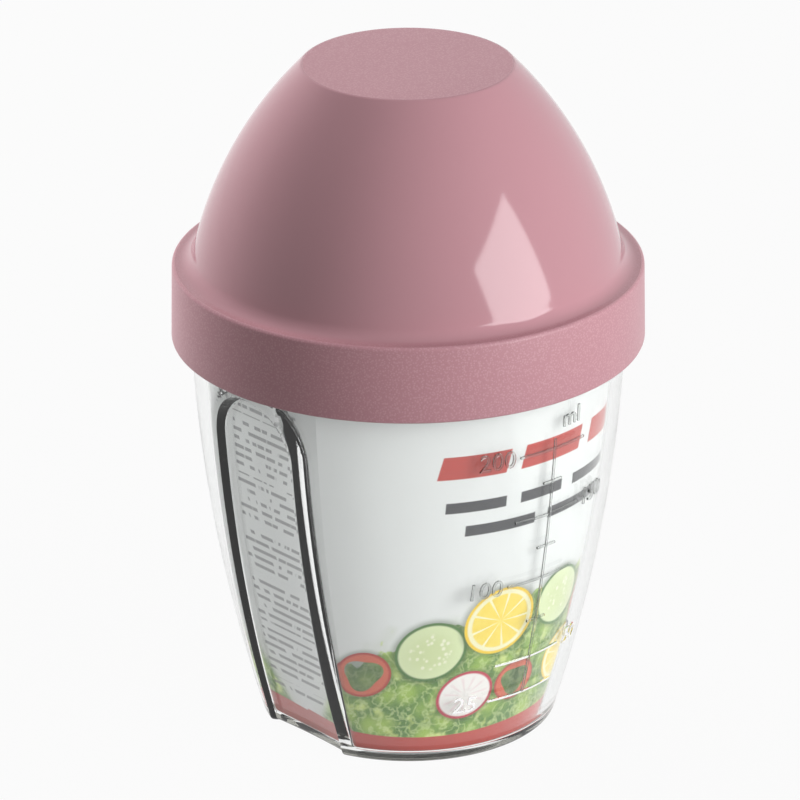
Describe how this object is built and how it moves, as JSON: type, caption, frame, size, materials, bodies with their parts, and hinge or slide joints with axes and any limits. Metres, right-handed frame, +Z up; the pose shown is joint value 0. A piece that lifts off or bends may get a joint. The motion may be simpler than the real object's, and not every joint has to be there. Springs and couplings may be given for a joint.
{
  "type": "salad dressing shaker bottle",
  "caption": "Tapered clear beaker with grip recesses, a measuring scale and a printed sleeve, closed by a domed screw hood over a mixing strainer.",
  "frame": {"origin": "centre of the base, on the surface that the cup stands on", "axes": "+Z up along the axis of the cup and the hood, -Y towards the measuring scale, -X and +X towards the grip recesses"},
  "size_m": [0.0876, 0.0876, 0.1281],
  "materials": {
    "clear_plastic": "clear polished styrene plastic",
    "printed_paper": "satin printed paper",
    "white_plastic": "satin moulded polypropylene",
    "silicone": "matt silicone",
    "pink_plastic": "glossy dome, fine matt grain on the crown and the collar"
  },
  "bodies": {
    "cup": {"cup": "clear_plastic", "label_insert": "printed_paper"},
    "strainer": {"mixing_insert": "white_plastic"},
    "seal": {"seal_ring": "silicone"},
    "hood": {"hood_lid": "pink_plastic"}
  },
  "joints": [
    {"name": "insert_lift", "type": "slide", "parent": "cup", "child": "strainer", "axis": [0, 0, 1], "range_m": [0, 0.045]},
    {"name": "hood_lift", "type": "slide", "parent": "strainer", "child": "seal", "axis": [0, 0, 1], "range_m": [0, 0.06]},
    {"name": "hood_turn", "type": "hinge", "parent": "seal", "child": "hood", "pos_m": [0, 0, 0.09], "axis": [0, 0, 1], "range_deg": [0, 180]}
  ]
}
